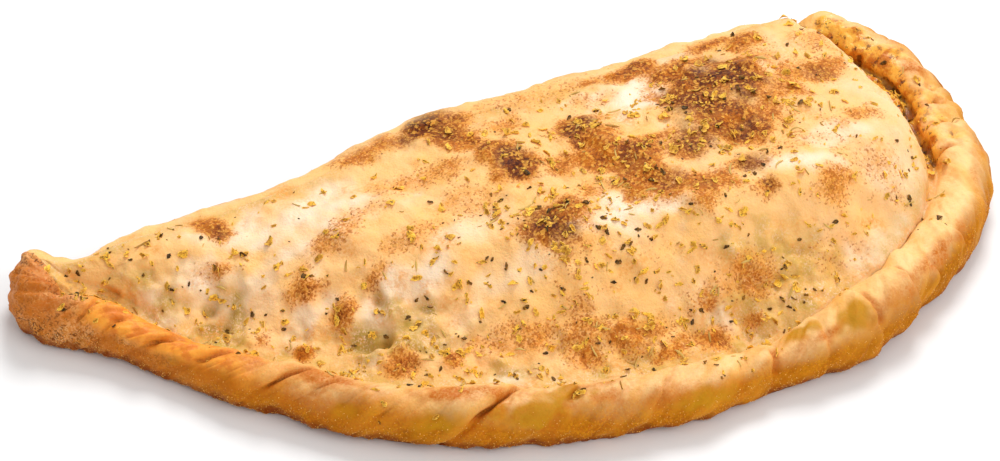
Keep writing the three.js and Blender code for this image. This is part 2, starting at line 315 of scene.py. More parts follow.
def ruled(column, shares):
    """Places between the rim and the fold, from one column of the ring."""
    rim = ring[:LENGTH_STEPS + 1, column]
    fold = np.concatenate([rim[:1], ring[:LENGTH_STEPS - 1:-1, column][:LENGTH_STEPS - 1], rim[-1:]])
    return mixed(rim[:, None], fold[:, None], shares[None, :, None])[1:-1, 1:-1]


# The grid of the top, closer near the rim and the fold, and the grid of the base.
across = np.linspace(0, 1, TOP_STEPS + 1)
top = ruled(0, mixed(0.5 - 0.5 * np.cos(np.pi * across), across, EVEN_SHARE))
height, top_gap = top_height(top[..., 0].ravel(), top[..., 1].ravel())
top[..., 2] = height.reshape(top.shape[:2])
base = ruled(-1, np.linspace(0, 1, BASE_STEPS + 1))
base[..., 2] = 0


def grid_faces(index):
    """Quads of a grid of vertex numbers, or triangles where two corners are one."""
    faces = []
    for a, b, c, d in zip(index[:-1, :-1].ravel(), index[1:, :-1].ravel(), index[1:, 1:].ravel(),
                          index[:-1, 1:].ravel()):
        corners = [a]
        for corner in (b, c, d):
            if corner not in corners:
                corners.append(corner)
        if len(corners) > 2:
            faces.append(corners)
    return faces


ring_index = np.arange(ring.shape[0] * ring.shape[1]).reshape(ring.shape[:2])


def ruled_index(inner, first, column):
    """Vertex numbers of a ruled grid: its rim is the ring's, its inside starts at first."""
    index = np.empty((LENGTH_STEPS + 1, inner.shape[1] + 2), int)
    index[:, 0] = ring_index[:LENGTH_STEPS + 1, column]
    index[1:-1, -1] = ring_index[:LENGTH_STEPS:-1, column]
    index[0, :] = ring_index[0, column]
    index[-1, :] = ring_index[LENGTH_STEPS, column]
    index[1:-1, 1:-1] = first + np.arange(inner.shape[0] * inner.shape[1]).reshape(inner.shape[:2])
    return index


top_index = ruled_index(top, ring_index.size, 0)
base_index = ruled_index(base, ring_index.size + top.shape[0] * top.shape[1], -1)
ring_closed = np.concatenate([ring_index, ring_index[:1]])
faces = grid_faces(ring_closed[:, ::-1]) + grid_faces(top_index) + grid_faces(base_index[:, ::-1])
dough = np.concatenate([ring.reshape(-1, 3), top.reshape(-1, 3), base.reshape(-1, 3)])

# What each place is: how far along the edge, its angle round the roll, and how far in from the roll.
ring_count, top_count, base_count = ring_index.size, top[..., 0].size, base[..., 0].size
way = np.concatenate([ring_distance.ravel(), np.zeros(top_count + base_count)])
round_angle = np.concatenate([ring_angle.ravel(), np.full(top_count, 180.0), np.full(base_count, -90.0)])
inside = np.concatenate([np.zeros(ring_count), top_gap, np.zeros(base_count)])
is_top = np.repeat((0.0, 1.0, 0.0), (ring_count, top_count, base_count))
is_rim = np.where((is_top == 0) & (way < RIM_LENGTH), 1.0, 0.0)

# Soft unevenness of the baked dough, and the blisters that rose in the oven, in millimetres.
TOP_LUMPS = [(19, 0.75), (8.5, 0.6), (4.2, 0.32), (2.2, 0.15)]  # size, height
ROLL_LUMPS = [(12, 0.7), (5.5, 0.42), (2.6, 0.2)]
HORN_LUMPS = [(4.5, 0.55), (2.2, 0.35)]
OIL_LUMPS = [(5.5, 0.8), (2.4, 0.3)]
RAGGED_SIZES = (7, 3)  # of the lumps that make the patches of the top ragged
PATCH_LUMPS = [(6, 0.35), (2.5, 0.25)]  # and those of the rim
CRUMPLED = 1.3  # how much rougher the thin, oily strip before the rim is
FINELY_CRUMPLED = 3.2  # the same for unevenness finer than 5 mm
EDGE_SHARE = 0.45  # how much of the top's unevenness is there where it meets the roll
RIDGES = [(2.1, 0.40), (1.3, 0.22)]  # fine ridges that run with the twist of the rim: width, height
RIDGE_LENGTH = 6  # of the width
BLISTERS = 150
BLISTERS_BROWNED = 0.7  # the share of them in the browned patches
BLISTER_RADIUS = (1.6, 5.2)
BLISTER_HEIGHT = 0.17  # of the radius
BLISTER_SPREAD = 0.6  # of the radii of a browned patch
CREASE_DEPTH = 1.8  # of the narrow line at the foot of the open crease
CHAR_DEPTH = 0.5
HOLLOW_SHARE = 1.5  # of the depths below
HOLLOWS = [  # on the top: x, y, radius, depth (a swelling where it is below 0)
    (-73, -6, 4.5, 2.6), (-68, -9, 3.5, 1.6), (-73, -14, 3.6, -1.6), (-66, -17, 4.2, -1.5),
    (-61, -23, 4, -1.2), (-80, 17, 4.4, -1.3), (-77, 13, 3.2, 1.5), (-99, 27, 5.5, 1.4),
    (-109, 27, 6.5, 1.8), (-90, 3, 3, -1.2), (-72, 5, 4, -1.1), (-97, 37, 4.5, -0.9), (-56, -27, 3.2, -1),
    (-49, -33, 4, 1), (-39, -27, 5, -0.9), (-46, 12, 6, -0.8), (-14, -42, 6, -0.8), (-25, -40, 4.5, 0.9),
    (-64, 26, 6, -0.9), (57, -30, 5, 0.9), (70, -36, 7, -0.9), (33, 16, 5, 1.2), (44, 12, 6, 1.2),
    (60, -8, 6, 1.1), (-6, -2, 5, 1.2), (10, 20, 4.5, 1), (90, -5, 8, -0.8), (22, -30, 5, 1),
    (44, -40, 6, 0.9), (-35, 30, 6, 0.9), (86, -44, 5, 1), (8, -30, 5.5, -0.9),
]
CRACK_ENDS = 25  # degrees over which a crack fades out
CRACK_BRIM = (3.2, 0.36)  # how much wider and lower than a crack its raised sides are
CRACKS = [  # along some of the pleats: place, lean, first and last angle, width, depth
    (159, 13, 15, 150, 1.2, 2.3), (96, 12, 25, 145, 1.1, 1.9), (70, 11, 35, 140, 1.1, 1.6),
    (108, 12, 50, 145, 0.9, 1.5), (54, 9, 20, 125, 1.1, 1.5), (133, 12, 5, 60, 0.8, 1.2),
    (182, 11, 60, 135, 0.9, 1.2), (212, 7, 20, 100, 0.9, 1), (249, 3, 10, 120, 1, 1.6),
    (267, 2, 20, 90, 0.9, 1.1), (285, 1, 10, 120, 1, 1.4), (302, 1, 10, 120, 1, 1.4),
    (314, 0, 0, 90, 0.9, 1.1), (332, 0, 0, 80, 1, 1), (386, -2, 70, 150, 1, 1.6),
    (372, -3, 95, 165, 1.2, 2.4), (396, 0, 80, 155, 0.9, 1.2), (30, 5, 20, 125, 1, 1.2),
    (82, 12, 30, 120, 0.8, 0.9), (120, 12, 70, 150, 0.8, 0.8), (40, 7, 20, 110, 0.9, 0.9),
]
DIMPLES = [  # place on the rim, angle round it, radius, depth
    (404, 80, 3.2, 2.6), (396, 92, 3.4, 2.4), (386, 98, 3.2, 2.2), (376, 92, 2.6, 2), (224, 70, 4.5, 1),
    (146, 55, 5, 0.8), (120, 40, 4, 1), (86, 60, 4, 0.9), (276, 50, 5, 1), (345, 60, 4.5, 1),
]

# Patches of the top: x, y, the two radii, strength, and a turn in degrees where there is one.
BROWNED = [
    (-14, 57, 10, 7, 1, 20), (-11, 49, 10, 8, 0.9), (-10, 40, 9, 9, 0.85), (-6, 31, 9, 8, 0.85),
    (-5, 21, 8, 8, 0.95), (-11, 18, 6, 5, 0.6), (22, 26, 9, 6, 0.9), (23, 17, 10, 8, 0.85),
    (21, 9, 12, 9, 0.9), (27, 3, 10, 9, 0.95), (25, -8, 9, 9, 0.85), (28, -18, 8, 6, 0.65),
    (10, 12, 9, 7, 0.6), (9, -2, 9, 6, 0.55), (60, 32, 9, 9, 0.85), (57, 19, 8, 11, 0.9),
    (65, 21, 14, 16, 1), (76, 18, 11, 16, 1), (61, 10, 12, 12, 1), (62, 2, 11, 9, 0.95),
    (64, -6, 10, 6, 0.9), (74, 0, 11, 8, 0.66), (84, 5, 11, 8, 0.62), (80, 42, 9, 4, 0.85),
    (90, 37, 9, 5, 0.8), (93, 12, 9, 7, 0.6), (103, 9, 10, 7, 0.66), (98, -15, 12, 5, 0.6),
    (51, 43, 11, 4, 0.85), (38, 45, 6, 3, 0.66), (46, -1, 9, 8, 0.72), (38, -22, 11, 7, 0.7),
    (55, -19, 6, 6, 0.66), (55, -30, 5, 4, 0.7), (77, -36, 9, 5, 0.55), (-9, -9, 10, 8, 0.9),
    (-2, -7, 8, 6, 0.8), (-8, -22, 12, 7, 0.22), (-92, 53, 6, 9, 0.85), (-36, 57, 12, 6, 0.7),
    (-26, 54, 8, 5, 0.6), (-80, 18, 6, 5, 0.66), (-72, 5, 5, 4, 0.7), (-97, 38, 12, 3, 0.5, -30),
    (-64, 26, 10, 5, 0.45), (-62, 7, 6, 4, 0.5), (-46, 12, 14, 4, 0.4), (-39, -27, 9, 6, 0.42),
    (-30, -33, 7, 5, 0.5), (-14, -42, 11, 7, 0.5), (19, -57, 8, 5, 0.75), (-4, -50, 9, 5, 0.4),
    (37, -49, 9, 6, 0.5), (-24, 34, 14, 6, 0.5), (-56, 30, 12, 4, 0.35), (-98, 13, 6, 4, 0.5),
    (-55, -27, 4, 4, 0.85), (-90, 2, 3.4, 3, 0.9), (-66, -21, 7, 4, 0.6), (12, -30, 14, 5, 0.15, -15),
    (110, 24, 8, 8, 0.4), (62, -50, 14, 7, 0.2), (90, 25, 10, 7, 0.4), (2, 42, 9, 7, 0.5),
    (70, -18, 16, 4, 0.35), (4, -56, 9, 4, 0.75), (-9, -45, 12, 6, 0.6), (-12, -33, 8, 5, 0.4),
    (33, -57, 6, 3, 0.5), (21, -48, 8, 5, 0.5), (1, -47, 9, 4, 0.5), (28, 46, 16, 8, 0.3),
    (-22, 14, 14, 9, 0.3), (-40, 34, 10, 6, 0.3), (92, -34, 13, 10, 0.32), (31, 37, 10, 7, 0.34),
    (14, 52, 18, 7, 0.3),
]
CHARRED = [
    (-15, 57, 10, 6, 1, 20), (-14, 49, 7, 5, 0.6), (-5, 21, 5, 7, 0.9), (22, 26, 6, 4, 0.75),
    (75, 19, 7, 12, 1), (70, 24, 8, 8, 0.7), (60, 11, 9, 10, 0.72), (56, 18, 6, 8, 0.55),
    (63, -4, 6, 5, 0.75), (-9, -10, 7, 7, 1), (46, -2, 8, 7, 0.62), (55, -19, 5, 5, 0.66),
    (27, 3, 6, 5, 0.5), (31, -13, 5, 4, 0.35), (102, 9, 5, 4, 0.4), (55, -30, 3, 3, 0.6),
    (-92, 53, 3, 5, 0.35), (38, -21, 5, 3, 0.4),
]
PALE = [
    (46, 30, 15, 10, 1, 10), (66, 44, 13, 4, 0.9), (17, -18, 12, 7, 0.9, -20), (3, -14, 8, 4, 0.5),
    (100, -38, 14, 12, 0.45), (68, -26, 16, 4, 0.8, -20), (98, 26, 14, 8, 0.2), (-70, 40, 24, 10, 0.8, -10),
    (-30, 5, 12, 6, 0.45), (22, -52, 5, 12, 0.6, 30), (84, -20, 16, 4, 0.55, -10), (-58, -2, 14, 7, 0.8),
    (-82, 30, 14, 5, 0.7), (112, -8, 9, 18, 0.25), (-104, 42, 12, 5, 0.6, -20), (-86, 12, 8, 6, 0.6),
    (-44, -42, 5, 3, 0.9), (-74, -14, 4, 3, 0.8), (-88, 44, 16, 6, 0.5, -20), (93, -51, 14, 7, 0.9, 30),
    (78, -55, 10, 5, 0.8), (-103, 38, 14, 7, 0.9, -10), (-92, 24, 7, 9, 0.3), (-30, -16, 16, 5, 0.4),
]
# Olive places of the top: partly the thin oily dough's own tint and partly painted shade on the front slope
# and in its hollows.
OLIVE = [
    (-74, -9, 13, 12, 1), (-108, 23, 11, 10, 1), (-62, -16, 13, 10, 0.9), (-124, 40, 8, 12, 0.8),
    (-40, -42, 15, 10, 0.85), (-10, -54, 16, 9, 0.85), (54, -60, 18, 8, 0.9, -10), (46, -49, 15, 9, 0.85),
    (28, -53, 13, 6, 0.7), (-96, 2, 11, 10, 0.85), (28, -62, 14, 8, 0.85),
]
RIM_BROWNED = [  # place along the rim, angle round it, length, spread of the angle, strength
    (12, 60, 16, 80, 0.9), (52, 0, 26, 36, 0.7), (86, 100, 10, 20, 0.7), (76, 22, 16, 30, 0.7),
    (112, 98, 12, 24, 0.85), (128, 70, 12, 24, 0.3), (156, 96, 13, 26, 1), (196, 105, 9, 18, 0.6),
    (195, 62, 5, 18, 0.7), (214, 40, 8, 24, 0.6), (231, 36, 7, 18, 0.3), (257, 62, 8, 26, 0.5),
    (268, 66, 6, 14, 0.85), (372, 45, 4, 12, 0.8), (290, 55, 10, 30, 0.5), (306, 60, 10, 30, 0.75),
    (320, 55, 7, 25, 0.9), (333, 50, 6, 24, 0.65), (412, 92, 5, 30, 0.95), (360, 65, 9, 20, 0.5),
    (104, 20, 26, 34, 0.5), (342, 30, 16, 30, 0.15), (436, 70, 14, 20, 0.35), (374, 92, 6, 14, 0.6),
    (60, 122, 8, 12, 0.7), (140, 30, 12, 20, 0.4),
]
RAW = [  # smooth pale places of the rim, the same
    (146, 25, 9, 26, 1), (174, 40, 12, 34, 1), (186, 90, 10, 30, 1), (222, 26, 10, 22, 1),
    (66, 30, 7, 22, 1), (278, 70, 9, 30, 1), (120, 25, 5, 18, 1), (262, 100, 9, 24, 1),
]


def patches(kept, ragged=(0.34, 0.16), seed=40):
    """A soft field of patches of the top, ragged by lumps of two sizes."""
    edge = layered(flat_places, zip(RAGGED_SIZES, ragged), seed)
    field = np.zeros(len(dough))
    for x, y, long_radius, short_radius, strength, *turn in kept:
        cos, sin = math.cos(math.radians(sum(turn))), math.sin(math.radians(sum(turn)))
        right, back = dough[:, 0] - x, dough[:, 1] - y
        reach = np.hypot((right * cos + back * sin) / long_radius, (back * cos - right * sin) / short_radius)
        field = np.maximum(field, strength * smooth(-(reach + edge), -1.6, -0.2))
    return field


def rim_patches(kept, lean, fade):
    """The same for the rim."""
    edge = layered(dough, PATCH_LUMPS, 52)
    field = np.zeros(len(dough))
    for place, angle, length, spread, strength in kept:
        turned = round_angle - angle
        reach = np.hypot((way - place - lean * turned) / length, turned / spread)
        field = np.maximum(field, strength * smooth(-(reach + edge), *fade))
    return field * is_rim


def normals_of(places):
    mesh.vertices.foreach_set("co", (places * MM).ravel())
    mesh.update()
    normals = np.empty(places.size)
    mesh.vertices.foreach_get("normal", normals)
    return normals.reshape(-1, 3)


def keep_share(mesh, name, values):
    """Keeps a number for each point of a mesh, for its material to read."""
    mesh.attributes.new(name, "FLOAT", "POINT").data.foreach_set("value", values.astype(np.float32))


mesh = bpy.data.meshes.new("baked_dough")
mesh.from_pydata(dough * MM, [], faces)
mesh.polygons.foreach_set("use_smooth", np.ones(len(mesh.polygons), bool))
normals = normals_of(dough)

flat_places = dough * (1, 1, 0.2)
browned = patches(BROWNED)
charred = patches(CHARRED, seed=43)
pale = patches(PALE, ragged=(0.5, 0.2), seed=46)
olive = patches(OLIVE, ragged=(0.6, 0.3), seed=49)
rim_browned = rim_patches(RIM_BROWNED, TWIST_LEAN / 2, (-1.45, -0.25))

# The open creases, where the top stands apart from the rim and oil has run in, with a dark line of painted
# shade at their foot.
CREASES = [(350, RIM_LENGTH, 1.0), (5, 38, 0.4)]  # first and last place along the rim, oiliness
CREASE_SAMPLES = 160
CREASE_LINE = 0.9  # half the width of the dark line at its foot, painted shade over dark oil
LINE_WANDER = 0.8  # how far that line strays
FAR = 99.0  # further than anything that counts
oily, crease_foot_shade = np.zeros(len(dough)), np.zeros(len(dough))
for first, last, oiliness in CREASES:
    shares = np.linspace(0, 1, CREASE_SAMPLES)
    middle_way = mixed(first, last, shares)
    inner_edge = roll_point(middle_way, meeting_angle(middle_way))
    widths = edge_curve(np.interp(middle_way, LINE_LENGTHS, LINE_T), [7])[:, 0]
    gap, near, fade = np.full(len(dough), FAR), np.full(len(dough), FAR), np.zeros(len(dough))
    for place, width, share in zip(inner_edge, widths, shares):
        away = np.hypot(dough[:, 0] - place[0], dough[:, 1] - place[1])
        fade = np.where(away - width < gap, smooth(share, 0, 0.2) * smooth(-share, -0.99, -0.88), fade)
        gap = np.minimum(gap, away - width)
        near = np.minimum(near, away)
    crease = smooth(-(gap + 1.4 * lumps(dough, 6, 60)), -1.5, 1.0) * fade
    oily = np.maximum(oily, oiliness * crease)
    line = np.exp(-((near - 0.4 + LINE_WANDER * lumps(dough, 6, 63)) / CREASE_LINE) ** 2)
    line *= 0.55 + 0.45 * smooth(lumps(dough, 4, 66), -0.5, 0.5)
    crease_foot_shade = np.maximum(crease_foot_shade, oiliness * fade * line)
crease_foot_shade *= np.where(is_top > 0, 1, is_rim * smooth(round_angle, 148, 166))
climb = round_angle + 30 * smooth(way, 395, 420) + 14 * lumps(dough, 5, 65)  # it runs further out there
oily *= smooth(-dough[:, 2], -25, -20) * np.where(is_top > 0, 1, is_rim * smooth(climb, 120, 145))

relief = oily * layered(dough, OIL_LUMPS, 33) - CREASE_DEPTH * crease_foot_shade
top_share = np.where(is_top > 0, mixed(EDGE_SHARE, 1, smooth(inside, 0, 9)), 0)
for number, (size, rise) in enumerate(TOP_LUMPS):
    relief += top_share * rise * lumps(dough, size, 10 + number) * (
        1 + (CRUMPLED if size > 5 else FINELY_CRUMPLED) * olive)
relief += (1 - is_top) * layered(dough, ROLL_LUMPS, 20)
along_twist = way - TWIST_LEAN * (round_angle - PLEAT_ANGLE)
round_way = round_angle * ROUND_STEP
flat = np.zeros(len(dough))
for number, (wide, rise) in enumerate(RIDGES):
    stretch = np.stack([along_twist, round_way / RIDGE_LENGTH, flat], -1)
    relief += is_rim * rise * lumps(stretch, wide, 30 + 8 * number) * smooth(round_angle, 150, 90) * (
        1 + smooth(-way, -110, -30) * smooth(round_angle, 0, 60))
relief += is_rim * smooth(-way, -60, -10) * layered(dough, HORN_LUMPS, 36)
for place, angle, radius, depth in DIMPLES:
    reach = np.hypot(way - place, round_way - angle * ROUND_STEP) / radius
    relief -= is_rim * depth * np.exp(-reach ** 2)
    oily = np.maximum(oily, is_rim * 0.8 * smooth(depth, 1.1, 1.9) * np.exp(-0.8 * reach ** 2))

# The cracks also darken the rim's colour: partly browning, partly painted shade along each crack.
crack_browning_and_shade = np.zeros(len(dough))
for place, lean, first, last, width, depth in CRACKS:
    past = (way - place - lean * (round_angle - PLEAT_ANGLE) / 90 + 0.4 * lumps(dough, 5, 31)) / width
    reach = smooth(round_angle, first, first + CRACK_ENDS) * smooth(-round_angle, -last, CRACK_ENDS - last)
    brim = CRACK_BRIM[1] * np.exp(-(past / CRACK_BRIM[0]) ** 2)
    relief -= is_rim * reach * depth * (np.exp(-past ** 2) - brim)
    crack_browning_and_shade = np.maximum(crack_browning_and_shade, is_rim * reach * min(1, depth / 2) * np.exp(-(past / 1.3) ** 2))
sunken = np.zeros(len(dough))
for x, y, radius, depth in HOLLOWS:
    reach = np.hypot(dough[:, 0] - x, dough[:, 1] - y) / radius + 0.2 * lumps(dough, 4, 32)
    sunken += is_top * depth * np.exp(-np.maximum(reach, 0) ** 2)
relief -= HOLLOW_SHARE * sunken

chance = np.random.default_rng(17)
for number in range(BLISTERS):
    if number < BLISTERS * BLISTERS_BROWNED:
        x, y, wide, deep, *_ = BROWNED[chance.integers(len(BROWNED))]
        x, y = x + chance.normal(0, BLISTER_SPREAD) * wide, y + chance.normal(0, BLISTER_SPREAD) * deep
    else:
        x, y = chance.uniform(-110, 110), chance.uniform(-50, 60)
    radius = chance.uniform(*BLISTER_RADIUS)
    reach = ((dough[:, 0] - x) ** 2 + (dough[:, 1] - y) ** 2) / radius ** 2
    relief += is_top * smooth(inside, 1, 6) * BLISTER_HEIGHT * radius * np.clip(1 - reach, 0, 1) ** 2
relief -= is_top * CHAR_DEPTH * charred

lifted = dough + normals * relief[:, None]
lifted[:, 2] = np.maximum(lifted[:, 2], 0)
on_base = (is_top == 0) & (inside == 0) & (round_angle <= FOOT_ANGLE + 0.01)
lifted[on_base, 2] = 0
normals = normals_of(lifted)
mesh.vertices.foreach_set("co", ((lifted + CENTRE_SHIFT) * MM).ravel())
mesh.update()

# What the material reads: how browned, charred, pale, olive, oily or low each place is, and where shade is
# painted: in the hollows, at the foot of the creases, and in part along the grooves and cracks of the rim.
streaked = np.stack([along_twist, round_way / 5, flat], -1)
for name, values in {
    "browned": browned * (1 - is_rim),
    "charred": charred * (1 - is_rim),
    "pale": pale * is_top,
    # olive, with the strip just inside the rim: partly tint, partly painted shade
    "olive": np.maximum(olive, 0.7 * smooth(-inside, -9, -1)) * is_top,
    "oily": oily,
    "crease_foot_shade": crease_foot_shade,
    "streak": is_rim * (0.5 + 0.5 * lumps(streaked, 4.5, 35)),
    "groove": is_rim * np.clip(pleat_draw(way, round_angle) / 0.24, 0, 1) * smooth(-way, -330, -180),
    # sunken: where painted shade goes into the deeper hollows of the olive places
    "sunken": np.clip(sunken - 0.5, 0, 1.2) * smooth(olive, 0.1, 0.6),
    "on_roll": np.where(is_top > 0, 0.0, np.where(is_rim > 0, 1.0, smooth(round_angle, 88, 30))),
    "lower": (1 - is_top) * smooth(-round_angle - 16 * lumps(dough, 15, 64), -80, -12),
    "foot": (1 - is_top) * smooth(-(lifted[:, 2] + 1.4 * lumps(dough, 5, 61)), -6.5, -2.0),
    "left": is_rim * smooth(-way, -95, -15),
    "glazed_lip": is_rim * smooth(way, 24, 36) * smooth(-way, -110, -76) * smooth(
        round_angle + 18 * lumps(dough, 7, 62), 14, 56),
    "raw": rim_patches(RAW, 0, (-1.3, -0.4)),
    "rim_browned": np.maximum(rim_browned, crack_browning_and_shade),
}.items():
    keep_share(mesh, name, values)

# Colours of the crust, in linear light.
CREAM = (0.94, 0.54, 0.225, 1)
TAN = (0.95, 0.52, 0.17, 1)
FLOURED = (0.94, 0.78, 0.6, 1)
OLIVE_TINT_AND_SHADE = (0.58, 0.35, 0.06, 1)
GOLDEN = (0.8, 0.3, 0.04, 1)
BROWN = (0.21, 0.046, 0.006, 1)
CHAR = (0.055, 0.013, 0.01, 1)
ROLL_TOP = (0.94, 0.6, 0.25, 1)
ROLL_SIDE = (0.4, 0.13, 0.001, 1)
ROLL_GOLD = (0.72, 0.29, 0.01, 1)
ROLL_GLAZE = (0.86, 0.38, 0.035, 1)
ROLL_BROWN = (0.56, 0.15, 0.008, 1)
ROLL_RAW = (0.53, 0.25, 0.008, 1)
LEFT_BROWN = (0.66, 0.23, 0.045, 1)
LEFT_DARK = (0.17, 0.05, 0.012, 1)
LEFT_GRAIN = (0.84, 0.44, 0.17, 1)
FOOT_BROWN = (0.26, 0.052, 0.004, 1)
LIP_ORANGE = (0.94, 0.35, 0.03, 1)
LIP_DEEP = (0.72, 0.19, 0.01, 1)
BROWN_GOLD = (0.5, 0.14, 0.009, 1)
GRAIN_BROWN = (0.4, 0.105, 0.01, 1)
OIL = (0.6, 0.185, 0.012, 1)
OIL_DARK_AND_SHADE = (0.19, 0.052, 0.005, 1)
OIL_GOLD = (0.94, 0.48, 0.06, 1)
SHADED = (0.4, 0.235, 0.03, 1)
FLOUR_GRAIN = (0.92, 0.62, 0.4, 1)
SPECK = (0.9, 0.44, 0.07, 1)

# Its finish: each pair is for dry and for oiled crust.
ROUGHNESS = (0.52, 0.26)
GLOSS = (0.2, 0.36)
GLOSS_CHANGE = 0.15  # more on the glazed lip, less where it is browned or lies low
LIGHT_SINKS = 0.18  # the share of light that goes into the dough
LIGHT_COLOURS = (1.0, 0.45, 0.18)
LIGHT_DEPTH = 0.0025  # metres
BUMP_STRENGTH = 0.6
BUMP_HEIGHT = 0.001  # metres


def add(kind, inputs=(), **settings):
    """Adds a node to the material in hand."""
    made = tree.nodes.new(kind)
    for name, value in settings.items():
        setattr(made, name, value)
    return feed(made, inputs)


def feed(node, inputs):
    """Links or sets a node's inputs. A name among them is the number kept under it."""
    for socket, value in inputs:
        if isinstance(value, str):
            value = add("ShaderNodeAttribute", attribute_name=value).outputs["Fac"]
        if isinstance(value, bpy.types.NodeSocket):
            tree.links.new(value, node.inputs[socket])
        else:
            node.inputs[socket].default_value = value
    return node


def stretched(value, low, high, to=(0.0, 1.0), kind="LINEAR"):
    """A number stretched so that low becomes the first end of to and high the other."""
    return add("ShaderNodeMapRange", [("Value", value), ("From Min", low), ("From Max", high),
                                      ("To Min", to[0]), ("To Max", to[1])],
               interpolation_type=kind).outputs["Result"]


def place_of():
    return (tree.nodes.get("place") or add("ShaderNodeTexCoord", name="place")).outputs["Object"]


def grain(scale, detail=3.0, low=0.35, high=0.65, to=(0.0, 1.0)):
    """Fine noise, scale to the metre, stretched from low and high to the ends of to."""
    noise = add("ShaderNodeTexNoise", [("Vector", place_of()), ("Scale", scale), ("Detail", detail),
                                       ("Roughness", 0.6)])
    return stretched(noise.outputs["Fac"], low, high, to)


def granules(scale, low=0.0, high=1.0):
    """A random number for each small round grain, scale to the metre, stretched from low to high."""
    cells = add("ShaderNodeTexVoronoi", [("Vector", place_of()), ("Scale", scale)])
    return stretched(cells.outputs["Color"], low, high)


def worked(operation, first, second, clamp):
    made = add("ShaderNodeMath", [(0, first), (1, second)], operation=operation, use_clamp=clamp)
    return made.outputs["Value"]


def times(first, second, clamp=False):
    return worked("MULTIPLY", first, second, clamp)


def plus(first, second):
    return worked("ADD", first, second, False)


def less(first, second, clamp=False):
    return worked("SUBTRACT", first, second, clamp)


def blend(share, first, second, strength=1):
    """first where share is 0, second where it is 1, or as much of it as the strength says."""
    if strength != 1:
        share = times(share, strength)
    return add("ShaderNodeMix", [(0, share), (6, first), (7, second)], data_type="RGBA").outputs[2]


# The top: cream to tan, floured places, olive places that are partly painted shade, painted shade in its
# hollows, golden freckles, and browning that is deeper the more it is browned, with grains of each depth in
# the next.
crust = plain_material("baked crust", CREAM, 0.5)
tree = crust.node_tree
fine = times(plus(grain(1700, 1, 0.3, 0.7), granules(1300, 0.2, 0.8)), 0.5)
upper = blend(grain(60, 4, 0.32, 0.62), CREAM, TAN)
upper = blend("pale", upper, FLOURED, 0.9)
# olive places: partly the dough's tint, partly painted shade
upper = blend(times("olive", grain(160, 4, 0.3, 0.6, (0.35, 1))), upper, OLIVE_TINT_AND_SHADE)
# painted shade: the shaded olive-brown colour laid into the deeper hollows of the top
upper = blend(times("sunken", 0.62, True), upper, SHADED)
dusty = times("olive", granules(2000, 0.5, 0.8))
dusty = times(dusty, grain(140, 3, 0.38, 0.6))
upper = blend(dusty, upper, FLOUR_GRAIN, 0.8)
freckles = times(grain(95, 5, 0.50, 0.70), grain(900, 2, 0.35, 0.6))
upper = blend(freckles, upper, GOLDEN, 0.75)
uneven = less(plus(times(fine, 0.8), times(grain(190, 5, 0.3, 0.7), 0.35)), 0.08)
golden = times("browned", plus(uneven, 0.6))
upper = blend(stretched(golden, 0.05, 0.85, kind="SMOOTHSTEP"), upper, GOLDEN)
sparse = plus(times("browned", 0.75), granules(1750))
scattered = times(stretched(sparse, 0.86, 1.06, (0, 0.75)), times("browned", 6, True))
upper = blend(scattered, upper, GRAIN_BROWN)
depth = times("browned", plus(uneven, 0.42))
upper = blend(stretched(depth, 0.32, 0.78, kind="SMOOTHSTEP"), upper, BROWN_GOLD)
cloudy = plus(depth, grain(120, 3, 0.35, 0.65, (-0.22, 0.22)))
upper = blend(stretched(cloudy, 0.62, 1.04, kind="SMOOTHSTEP"), upper, BROWN)
upper = blend(times("charred", plus(uneven, 0.35), True), upper, CHAR)
upper = blend(times(granules(1150, 0.6, 0.76), "browned"), upper, SPECK, 0.65)
crumbs = times(granules(1010, 0.36, 0.26), times(depth, depth))
upper = blend(times(crumbs, 0.8, True), upper, BROWN)

# The roll: paler above, golden and dusted with meal below, browned at its foot, and darker in its grooves
# and cracks, partly from browning and partly as painted shade.
roll = blend("lower", ROLL_TOP, ROLL_SIDE)
roll = blend(stretched("streak", 0.45, 0.85, (0, 0.45)), roll, ROLL_GLAZE)
roll = blend("raw", roll, ROLL_RAW)
# darker in the grooves of the twist: partly browning, partly painted shade
groove_browning_and_shade = times("groove", grain(500, 4, 0.3, 0.6, (0.2, 1)))
roll = blend(groove_browning_and_shade, roll, ROLL_BROWN, 0.75)
dusted = times("lower", less(grain(90, 4, 0.35, 0.62, (0.25, 1)), "raw", True))
roll = blend(times(granules(2100, 0.52, 0.3), dusted), roll, ROLL_BROWN, 0.6)
roll = blend(times(granules(1900, 0.54, 0.8), dusted), roll, ROLL_GOLD, 0.6)
roll = blend(grain(110, 4, 0.5, 0.7), roll, ROLL_GOLD, 0.45)
roll = blend(times("left", grain(150, 4, 0.35, 0.55, (0.5, 1))), roll, LEFT_BROWN)
scorched = times(granules(1700, 0.52, 0.34), grain(170, 4, 0.36, 0.54))
roll = blend(times(scorched, "left"), roll, LEFT_DARK)
floury = times(granules(1800, 0.46, 0.74), grain(120, 3, 0.35, 0.6))
floury = times(floury, "left")
roll = blend(floury, roll, LEFT_GRAIN, 0.75)
lip = blend(grain(230, 4, 0.46, 0.62, (0, 0.9)), LIP_ORANGE, LIP_DEEP)
roll = blend("glazed_lip", roll, lip)
# rim_browned also holds the cracks, so here it is partly painted shade
roll = blend(times("rim_browned", plus(0.4, uneven), True), roll, ROLL_BROWN)
roll = blend(times("foot", grain(300, 3, 0.3, 0.6, (0.5, 1))), roll, FOOT_BROWN)

# Both together, the oil in the open creases, and painted shade along their foot.
colour = blend("on_roll", upper, roll)
oil = blend(grain(210, 4, 0.42, 0.54), OIL, OIL_GOLD)
oil = blend(grain(330, 4, 0.56, 0.64), oil, OIL_DARK_AND_SHADE)
colour = blend("oily", colour, oil)
